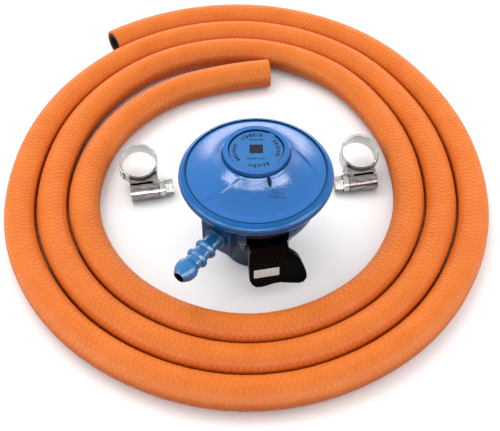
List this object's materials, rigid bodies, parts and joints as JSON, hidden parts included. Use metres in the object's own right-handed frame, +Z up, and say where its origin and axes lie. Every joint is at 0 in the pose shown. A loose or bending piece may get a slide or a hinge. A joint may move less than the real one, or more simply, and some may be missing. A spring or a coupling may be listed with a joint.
{
  "type": "low-pressure gas regulator with hose and hose clips",
  "caption": "Clip-on low-pressure gas regulator with a domed round body, barbed outlet nozzle and switch lever, with a loose coiled rubber hose and worm-drive hose clips.",
  "frame": {"origin": "on the regulator's axis, at the mouth of its valve socket, which is on the floor plane", "axes": "+Z up along the socket, out of the regulator's top; the outlet nozzle and the switch lever face -Y, and +X is to the right of them"},
  "size_m": [0.234, 0.2647, 0.063],
  "materials": {
    "body_paint": "glossy blue enamel on die-cast zinc, darker in the recesses",
    "cover_paint": "glossy blue enamel on die-cast zinc",
    "cap_paint": "glossy blue enamel with small black printed marks",
    "nozzle_paint": "glossy blue enamel",
    "lever_plastic": "gloss black moulded plastic with a white and green indicator",
    "hose_rubber": "matte orange rubber with a fine fabric-wrap texture",
    "black_rubber": "soft black nitrile rubber",
    "brass": "machined brass",
    "spring_steel": "drawn spring wire",
    "zinc_steel": "bright zinc-plated steel",
    "clip_band_steel": "bright rolled steel strip",
    "clip_housing_steel": "bright pressed steel, slightly warm",
    "clip_screw_steel": "plated steel screw"
  },
  "bodies": {
    "regulator": {"lower_body": "body_paint", "socket_skirt": "body_paint", "cover": "cover_paint", "top_cap": "cap_paint", "adjusting_screw": "brass", "main_spring": "spring_steel", "diaphragm": "black_rubber", "rocker_pin": "zinc_steel", "inlet_jet": "brass", "inlet_seal": "black_rubber", "push_pin_spring": "spring_steel", "push_pin_seal": "black_rubber", "outlet_nozzle": "nozzle_paint", "lever_pin": "zinc_steel"},
    "diaphragm_set": {"diaphragm_plate": "zinc_steel", "diaphragm_stem": "zinc_steel", "stem_nut": "zinc_steel"},
    "rocker": {"valve_rocker": "zinc_steel", "valve_pad": "black_rubber"},
    "push_pin": {"push_pin": "brass"},
    "slide": {"actuating_slide": "zinc_steel"},
    "collar": {"locking_collar": "zinc_steel"},
    "ball_1": {"locking_ball_1": "zinc_steel"},
    "ball_2": {"locking_ball_2": "zinc_steel"},
    "ball_3": {"locking_ball_3": "zinc_steel"},
    "switch_lever": {"switch_lever": "lever_plastic"},
    "left_clip": {"left_clip_band": "clip_band_steel", "left_clip_housing": "clip_housing_steel"},
    "left_clip_screw": {"left_clip_screw": "clip_screw_steel"},
    "right_clip": {"right_clip_band": "clip_band_steel", "right_clip_housing": "clip_housing_steel"},
    "right_clip_screw": {"right_clip_screw": "clip_screw_steel"},
    "hose": {"hose": "hose_rubber"}
  },
  "joints": [
    {"name": "switch_lever_hinge", "type": "hinge", "parent": "regulator", "child": "switch_lever", "pos_m": [0.00468, -0.02405, 0.027], "axis": [-0.9816, -0.1908, 0], "range_deg": [0, 70]},
    {"name": "actuating_slide_travel", "type": "slide", "parent": "regulator", "child": "slide", "axis": [-0.1908, 0.9816, 0], "range_m": [0, 0.0023]},
    {"name": "push_pin_travel", "type": "slide", "parent": "regulator", "child": "push_pin", "axis": [0, 0, -1], "range_m": [0, 0.0023], "deforming": ["push_pin_spring"]},
    {"name": "locking_collar_travel", "type": "slide", "parent": "regulator", "child": "collar", "axis": [0, 0, -1], "range_m": [0, 0.0031]},
    {"name": "locking_ball_1_travel", "type": "slide", "parent": "regulator", "child": "ball_1", "axis": [0, -1, 0], "range_m": [0, 0.00095]},
    {"name": "locking_ball_2_travel", "type": "slide", "parent": "regulator", "child": "ball_2", "axis": [0.866, 0.5, 0], "range_m": [0, 0.00095]},
    {"name": "locking_ball_3_travel", "type": "slide", "parent": "regulator", "child": "ball_3", "axis": [-0.866, 0.5, 0], "range_m": [0, 0.00095]},
    {"name": "valve_rocker_hinge", "type": "hinge", "parent": "regulator", "child": "rocker", "pos_m": [-0.005, 0, 0.0354], "axis": [0, -1, 0], "range_deg": [-9.5, 5]},
    {"name": "diaphragm_travel", "type": "slide", "parent": "regulator", "child": "diaphragm_set", "axis": [0, 0, 1], "range_m": [-0.0008, 0.0004], "stiffness_N_per_m": 1500, "deforming": ["main_spring", "diaphragm"]},
    {"name": "regulator_lift", "type": "slide", "parent": "hose", "child": "regulator", "axis": [0, 0, 1], "range_m": [0, 0.1]},
    {"name": "left_clip_lift", "type": "slide", "parent": "hose", "child": "left_clip", "axis": [0, 0, 1], "range_m": [0, 0.1]},
    {"name": "left_clip_screw_turn", "type": "hinge", "parent": "left_clip", "child": "left_clip_screw", "pos_m": [-0.05595, 0.02867, 0.0047], "axis": [0.9848, 0.1736, 0], "continuous": true},
    {"name": "right_clip_lift", "type": "slide", "parent": "hose", "child": "right_clip", "axis": [0, 0, 1], "range_m": [0, 0.1]},
    {"name": "right_clip_screw_turn", "type": "hinge", "parent": "right_clip", "child": "right_clip_screw", "pos_m": [0.05435, 0.03527, 0.0047], "axis": [0.9848, 0.1736, 0], "continuous": true}
  ],
  "couplings": [
    {"joint": "actuating_slide_travel", "follows": "switch_lever_hinge", "m_per_rad": 0.0018007},
    {"joint": "push_pin_travel", "follows": "switch_lever_hinge", "m_per_rad": 0.0018007},
    {"joint": "locking_collar_travel", "follows": "switch_lever_hinge", "m_per_rad": 0.0024555},
    {"joint": "locking_ball_1_travel", "follows": "switch_lever_hinge", "m_per_rad": 0.00073666},
    {"joint": "locking_ball_2_travel", "follows": "switch_lever_hinge", "m_per_rad": 0.00073666},
    {"joint": "locking_ball_3_travel", "follows": "switch_lever_hinge", "m_per_rad": 0.00073666},
    {"joint": "valve_rocker_hinge", "follows": "diaphragm_travel", "rad_per_m": 200}
  ]
}
